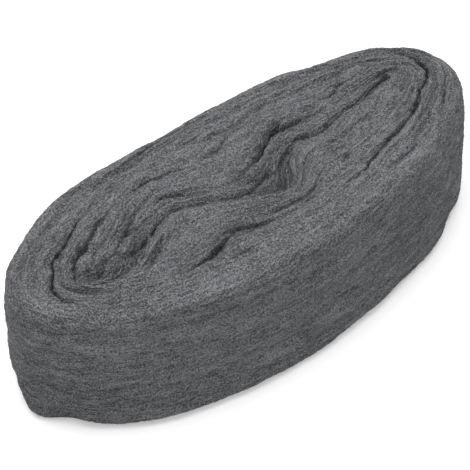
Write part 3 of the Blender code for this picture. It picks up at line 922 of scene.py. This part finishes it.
def wound_ribbon(material):
    """The ribbon's turns below the skin: they show from underneath and through the hollow."""
    stations = round(TURNS * TURN_STATIONS)
    wound = np.linspace(0, TURNS, stations + 1)[:, None]
    inner, outer, apart, near, far = spacing(wound)
    thickness = apart * (1 - near - far)
    turn = np.linspace(0, math.pi, CREST_STEPS + 1)[None, :]
    rise = np.array([TURN_RISES])
    drop = thickness / 2
    side = FOOT_ROUND + (TURN_TOP - drop - FOOT_ROUND) * rise
    dome = TURN_TOP - drop * (1 - np.sin(turn))
    ones = np.ones_like(wound)
    flat = (1 - FOOT_FLAT) / 2
    across = np.concatenate(
        [flat * ones, 0 * side, (1 - np.cos(turn)) / 2 * ones, 1 + 0 * side, (1 - flat) * ones], 1
    )
    height = np.concatenate([0 * ones, side, dome, side[:, ::-1], 0 * ones], 1)
    level = np.minimum(inner + (outer - inner) * (near + (1 - near - far) * across), TURN_LIMIT)
    u = direction(wound)
    points = in_frame(plan(level, u), u, swell(level, u, height), height)
    index = np.arange(height.size).reshape(height.shape)
    beside = np.roll(index, -1, axis=1)
    quads = np.stack([index[:-1], beside[:-1], beside[1:], index[1:]], -1).reshape(-1, 4)
    along = wound * TURN_LENGTH + 0 * height
    run = np.cumsum(np.hypot(np.diff(height, axis=1, prepend=0), TURN_STEP), axis=1)
    long, short, seed = TURN_PATCHES
    tone = TURN_TONE[0] + TURN_TONE[1] * hashed_noise(along / long, run / short, seed)
    pattern = np.stack([along / along.max(), run / run.max()], -1).reshape(-1, 2)
    made = mesh_object("wound_turns", points.reshape(-1, 3), quads, tone.ravel(), pattern, material)
    add_grain(made, along, run)
    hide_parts("wool_ribbon")


def between(grid, row, column):
    """Values of the grid between its points; columns run on round the bundle."""
    row = np.clip(row, 0, grid.shape[0] - 1.001)
    r, c = np.floor(row).astype(int), np.floor(column).astype(int)
    fr, fc = (row - r)[..., None], (column - c)[..., None]
    c0, c1 = c % grid.shape[1], (c + 1) % grid.shape[1]
    return (grid[r, c0] * (1 - fc) + grid[r, c1] * fc) * (1 - fr) + (
        grid[r + 1, c0] * (1 - fc) + grid[r + 1, c1] * fc
    ) * fr


def lay_fibres(name, surface, rows, count, lengths, slant, seed, material):
    """Crinkled fibres on rows of the skin, most of them along the winding."""
    rng = np.random.default_rng(seed)
    points, tone = surface[0], surface[1]
    normals = grid_normals(points)
    around = np.linalg.norm(np.roll(points, -1, axis=1) - points, axis=-1)
    outward = np.linalg.norm(np.gradient(points, axis=0), axis=-1)
    area = (around * outward)[rows[0] : rows[1]].ravel()
    pick = np.searchsorted(np.cumsum(area), rng.random(count) * area.sum())
    row = (pick // COLUMNS + rows[0] + rng.random(count))[:, None]
    column = (pick % COLUMNS + rng.random(count))[:, None]
    length = rng.uniform(*lengths, count)[:, None]
    width = rng.uniform(*FIBRE_WIDTH, count)
    steps = np.linspace(-0.5, 0.5, FIBRE_POINTS)[None, :]
    lean = rng.normal(0, slant, count)[:, None]
    bend = rng.normal(0, FIBRE_BEND, count)[:, None] * length
    crinkle = rng.normal(0, FIBRE_CRINKLE, (count, FIBRE_POINTS))
    beside = lean * length * steps + bend * (4 * steps**2 - 0.5) + crinkle
    r0, c0 = row[:, 0].astype(int).clip(0, len(points) - 1), column[:, 0].astype(int) % COLUMNS
    column_step = np.maximum(around[r0, c0], LEAST_STEP)[:, None]
    row_step = np.maximum(outward[r0, c0], LEAST_STEP)[:, None]
    path_column = column + np.clip(length * steps / column_step, -MOST_TURN, MOST_TURN)
    path_row = np.clip(row + beside / row_step, rows[0] + ROW_MARGIN, rows[1] - ROW_MARGIN)
    stray = (rng.random(count) < STRAY_SHARE)[:, None] * rng.random(count)[:, None]
    lift = rng.uniform(*FIBRE_LIFT, count)[:, None] + rng.normal(0, FIBRE_CRINKLE / 2, (count, FIBRE_POINTS))
    lift = lift + STRAY_LIFT * stray * np.clip(steps * 4, 0, 2) ** STRAY_CURVE
    facing = between(normals, path_row, path_column)
    path = between(points, path_row, path_column) + facing * lift[..., None]
    path[..., 2] = np.maximum(path[..., 2], LOWEST_FIBRE)
    # Each fibre takes the skin's tone, painted shade and all, with a random spread, and some are lighter
    # still as painted glints
    tones = tone[r0, c0] + rng.normal(0, FIBRE_TONE_SPREAD, count)
    tones = tones + GLINT_TONE * (rng.random(count) < GLINT_SHARE)
    fibre_pieces(name, path, width, tones, facing, rng, material)


def fibre_pieces(name, paths, widths, tones, facing, rng, material):
    """Flat tapered strips along paths (fibre, point, xyz), split into pieces of an equal size."""
    for start in range(0, len(paths), FIBRES_A_PIECE):
        these = slice(start, start + FIBRES_A_PIECE)
        path, width, tone, normal = paths[these], widths[these], tones[these], facing[these]
        count, steps = path.shape[:2]
        tangent = np.gradient(path, axis=1)
        tangent /= np.maximum(np.linalg.norm(tangent, axis=2, keepdims=True), 1e-9)
        sideways = np.cross(tangent, normal)
        sideways /= np.maximum(np.linalg.norm(sideways, axis=2, keepdims=True), 1e-9)
        upwards = np.cross(sideways, tangent)
        twist = np.linspace(-FIBRE_TWIST, FIBRE_TWIST, steps)[None, :, None]
        roll = rng.normal(0, FIBRE_ROLL, (count, 1, 1)) + twist
        lean = np.cos(roll) * sideways + np.sin(roll) * upwards
        taper = np.sin(np.linspace(FIBRE_TIP, math.pi - FIBRE_TIP, steps)) ** FIBRE_TAPER
        half = lean * width[:, None, None] * taper[None, :, None] / 2
        points = np.stack([path - half, path + half], 2).reshape(-1, 3)
        index = np.arange(count * steps * 2).reshape(count, steps, 2)
        quads = np.stack(
            [index[:, :-1, 0], index[:, :-1, 1], index[:, 1:, 1], index[:, 1:, 0]], -1
        ).reshape(-1, 4)
        point_tones = np.repeat(tone, steps * 2)
        pattern = np.stack([point_tones, rng.random(len(point_tones))], -1)
        piece = f"{name}_{start // FIBRES_A_PIECE + 1}"
        mesh_object(piece, points, quads, point_tones, pattern, material)


def floor_and_light():
    bpy.ops.mesh.primitive_plane_add(size=FLOOR_SIZE, location=(0, 0, 0))
    floor = bpy.context.object
    floor.name = "floor"
    material = bpy.data.materials.new("white_floor")
    material.use_nodes = True
    nodes, links = material.node_tree.nodes, material.node_tree.links
    shader = nodes["Principled BSDF"]
    shader.inputs["Base Color"].default_value = FLOOR_COLOUR
    shader.inputs["Roughness"].default_value = FLOOR_ROUGHNESS
    path = nodes.new("ShaderNodeLightPath")
    lifted = nodes.new("ShaderNodeMath")
    lifted.operation = "MULTIPLY"
    lifted.inputs[1].default_value = FLOOR_GLOW
    shader.inputs["Emission Color"].default_value = WHITE
    links.new(path.outputs["Is Camera Ray"], lifted.inputs[0])
    links.new(lifted.outputs["Value"], shader.inputs["Emission Strength"])
    floor.data.materials.append(material)

    world = bpy.data.worlds.new("studio")
    world.use_nodes = True
    background = world.node_tree.nodes["Background"]
    background.inputs["Color"].default_value = WHITE
    background.inputs["Strength"].default_value = WORLD_STRENGTH
    bpy.context.scene.world = world

    lamp = bpy.data.lights.new("overhead", "AREA")
    lamp.shape = "DISK"
    lamp.size = LAMP_SIZE
    lamp.energy = LAMP_ENERGY
    overhead = bpy.data.objects.new("overhead", lamp)
    overhead.location = LAMP_PLACE
    overhead.rotation_euler = LAMP_TILT
    bpy.context.scene.collection.objects.link(overhead)


def photo_camera():
    """The photograph's view, fitted to the bundle's outline in its frame."""
    azimuth, elevation = math.radians(CAMERA_AZIMUTH), math.radians(CAMERA_ELEVATION)
    back = np.array(
        [
            math.sin(azimuth) * math.cos(elevation),
            -math.cos(azimuth) * math.cos(elevation),
            math.sin(elevation),
        ]
    )
    right = np.cross(-back, [0, 0, 1])
    right /= np.linalg.norm(right)
    up = np.cross(right, -back)
    cosine, sine = math.cos(math.radians(CAMERA_ROLL)), math.sin(math.radians(CAMERA_ROLL))
    right, up = cosine * right + sine * up, -sine * right + cosine * up
    target = np.array([-centre[0], -centre[1], PLAN_CENTRE_HEIGHT])
    data = bpy.data.cameras.new("photo_camera")
    data.sensor_fit = "HORIZONTAL"
    data.sensor_width = SENSOR
    data.lens = FOCAL_PIXELS / PHOTO_SIDE * SENSOR
    data.shift_x = -PRINCIPAL_RIGHT / PHOTO_SIDE
    data.shift_y = PRINCIPAL_DOWN / PHOTO_SIDE
    data.clip_start = CLIP_START
    camera = bpy.data.objects.new("photo_camera", data)
    matrix = np.eye(4)
    matrix[:3, 0], matrix[:3, 1], matrix[:3, 2] = right, up, back
    matrix[:3, 3] = target + back * CAMERA_DISTANCE
    camera.matrix_world = matrix.T.tolist()
    bpy.context.scene.collection.objects.link(camera)
    bpy.context.scene.camera = camera


surface = felted(*skin())
side_end = TOP_END + SIDE_ROWS + FOOT_ROWS
side_rows = (TOP_END - RIM_OVERLAP, side_end - FOOT_CLEAR)

deep_steel = steel("deep_steel", DEEP_STEEL, True)
fibre_steel = steel("fibre_steel", FIBRE_STEEL, False)
grid_piece("felted_middle", slice(0, INNER_ROWS + 1), surface, deep_steel)
grid_piece("felted_top", slice(INNER_ROWS, TOP_END + 1), surface, deep_steel)
grid_piece("felted_side", slice(TOP_END, side_end + 1), surface, deep_steel)
wound_ribbon(deep_steel)
side_laid = (SIDE_FIBRES, SIDE_LENGTH, SIDE_SLANT, SIDE_SEED)
lay_fibres("side_fibres", surface, side_rows, *side_laid, fibre_steel)
top_laid = (TOP_FIBRES, TOP_LENGTH, TOP_SLANT, TOP_SEED)
lay_fibres("top_fibres", surface, (1, TOP_END), *top_laid, fibre_steel)
floor_and_light()
photo_camera()
bpy.context.scene.view_settings.view_transform = "Standard"
